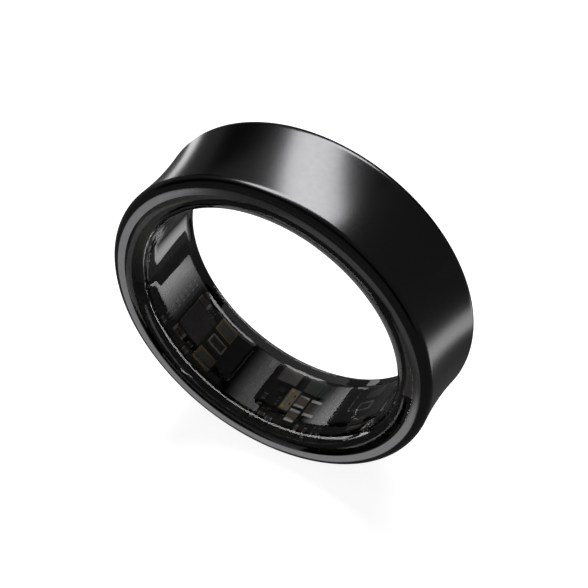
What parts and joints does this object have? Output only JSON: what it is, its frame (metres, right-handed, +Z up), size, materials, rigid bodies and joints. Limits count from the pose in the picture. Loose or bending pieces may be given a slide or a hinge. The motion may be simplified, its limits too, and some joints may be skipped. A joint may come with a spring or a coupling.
{
  "type": "smart ring",
  "caption": "Sealed smart ring: hollow-waisted black metal band lined with smoky resin, raised sensor windows in its bore, curved battery, charging coil and sensor board inside.",
  "frame": {"origin": "centre of the finger bore, at the middle of the ring's width", "axes": "+Y along the finger bore; +Z up with the ring standing on its rim and the sensor windows at the bottom; +X to the right seen from -Y"},
  "size_m": [0.024, 0.007, 0.024],
  "materials": {
    "black_metal": "satin black coating on titanium",
    "smoky_resin": "glossy, dark and see-through",
    "window_resin": "glossy, lightly smoked and see-through",
    "glue_film": "matt",
    "flex_film": "satin, dark green",
    "rigid_board": "satin, dark green",
    "bare_silicon": "smooth, purple black",
    "chip_black": "matt moulded",
    "sensor_grey": "satin",
    "can_metal": "satin plated",
    "diode_glass": "glossy grey",
    "gold": "plated",
    "green_glass": "glossy",
    "light_box_white": "pale moulded",
    "light_die": "smooth",
    "ceramic_white": "fired ceramic",
    "dark_die": "smooth",
    "capacitor_brown": "fired ceramic",
    "tin": "satin plated",
    "resistor_blue": "glazed",
    "ferrite": "matt",
    "battery_foil": "satin foil",
    "black_film": "satin",
    "copper": "etched"
  },
  "bodies": {
    "root": {"outer_band": "black_metal", "inner_liner": "smoky_resin", "left_window": "window_resin", "centre_window": "window_resin", "right_window": "window_resin", "bond_film": "glue_film", "flex_board": "flex_film", "board_islands": "rigid_board", "optical_chip": "bare_silicon", "main_processor": "chip_black", "power_chip": "chip_black", "motion_sensor": "sensor_grey", "memory_chip": "chip_black", "switch_chip": "chip_black", "crystal_can": "can_metal", "temperature_sensor": "sensor_grey", "photodiodes": "diode_glass", "photodiode_frames": "gold", "centre_photodiode": "green_glass", "light_boxes": "light_box_white", "light_dies": "light_die", "light_module": "ceramic_white", "module_pads": "gold", "module_dies": "dark_die", "capacitors": "capacitor_brown", "capacitor_terminals": "tin", "resistors": "resistor_blue", "resistor_terminals": "tin", "power_inductor": "ferrite", "inductor_terminals": "tin", "test_pads": "tin", "battery_cell": "battery_foil", "battery_wrap": "black_film", "battery_tabs": "can_metal", "protection_board": "rigid_board", "protection_chips": "chip_black", "charging_coil": "copper", "coil_film": "black_film", "ferrite_sheet": "ferrite", "antenna_strip": "gold"}
  },
  "joints": []
}
